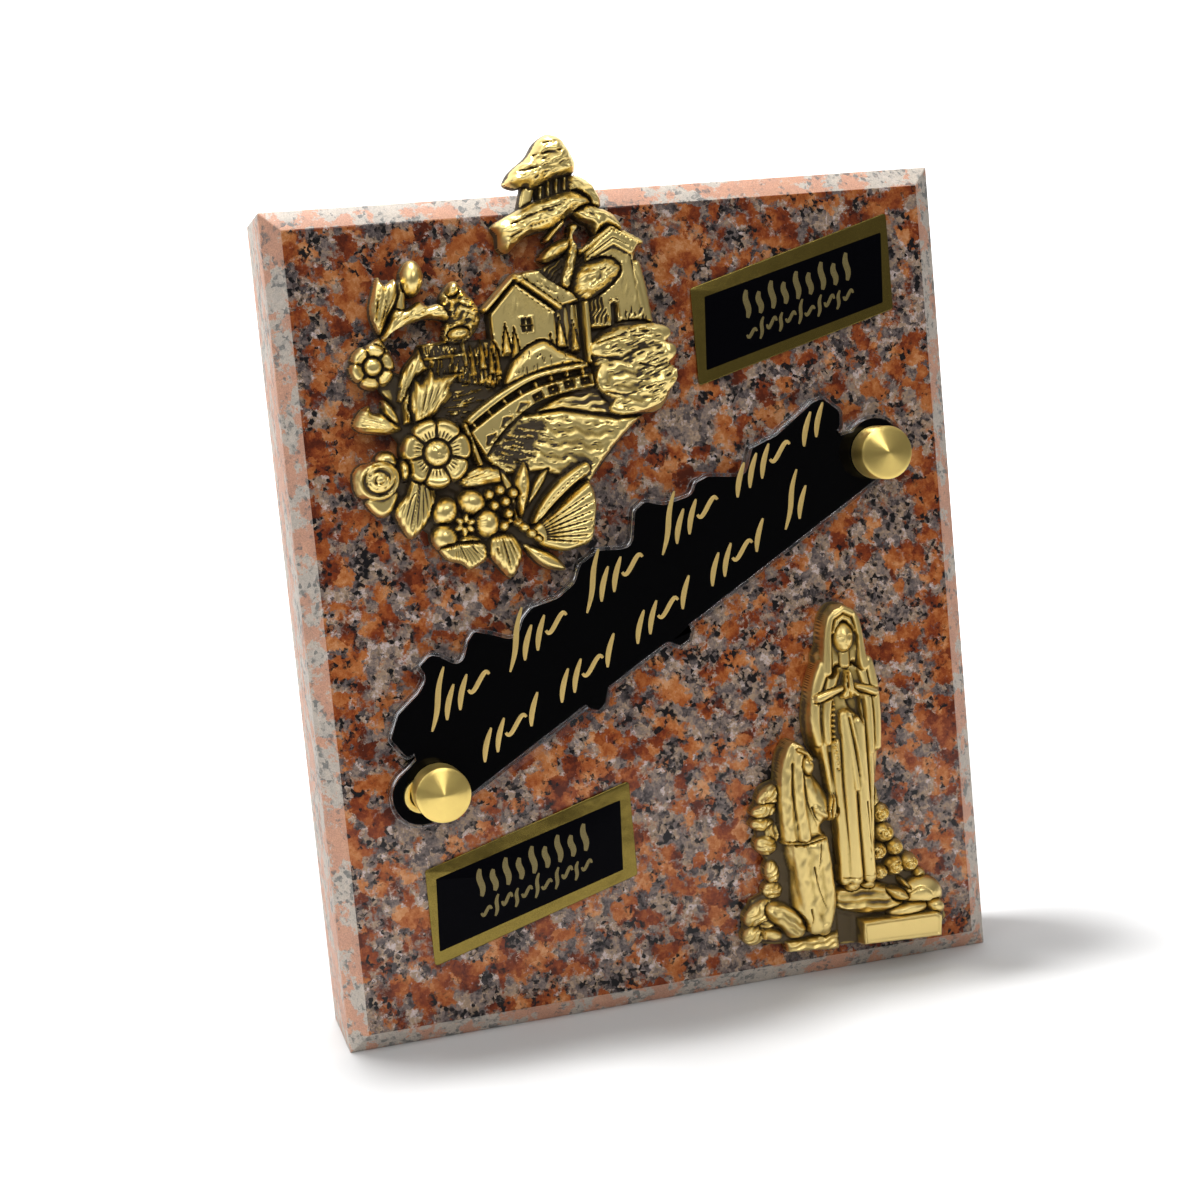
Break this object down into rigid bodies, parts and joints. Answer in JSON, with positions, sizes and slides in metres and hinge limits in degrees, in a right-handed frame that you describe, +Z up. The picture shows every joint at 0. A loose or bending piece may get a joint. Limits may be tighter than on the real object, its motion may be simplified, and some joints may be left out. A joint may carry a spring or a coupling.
{
  "type": "memorial plaque",
  "caption": "Upright polished granite plaque with a cast garden relief, a cast relief of praying figures, a sloping inscription plate held by capped screws, and leaning metal labels.",
  "frame": {"origin": "middle of the slab's underside, halfway between its front and back faces", "axes": "+Z up, the polished front face looks along -Y, and the slab's width lies on X"},
  "size_m": [0.15, 0.0416, 0.192],
  "materials": {
    "granite": "red-brown granite, polished front and honed edges",
    "antique_bronze": "cast bronze with polished highlights and a dark patina in the hollows",
    "satin_bronze": "cast bronze with a light satin patina",
    "black_acrylic": "polished black acrylic with clear edges and gilt strokes",
    "turned_brass": "turned and polished brass",
    "label_metal": "thin gilt metal with a black panel and gilt marks"
  },
  "bodies": {
    "root": {"granite_slab": "granite", "landscape_relief": "antique_bronze", "figure_relief": "satin_bronze", "inscription_plate": "black_acrylic", "screw_sleeve_lower": "turned_brass", "screw_sleeve_upper": "turned_brass", "screw_cap_lower": "turned_brass", "screw_cap_upper": "turned_brass", "label_upper": "label_metal", "label_lower": "label_metal"}
  },
  "joints": []
}
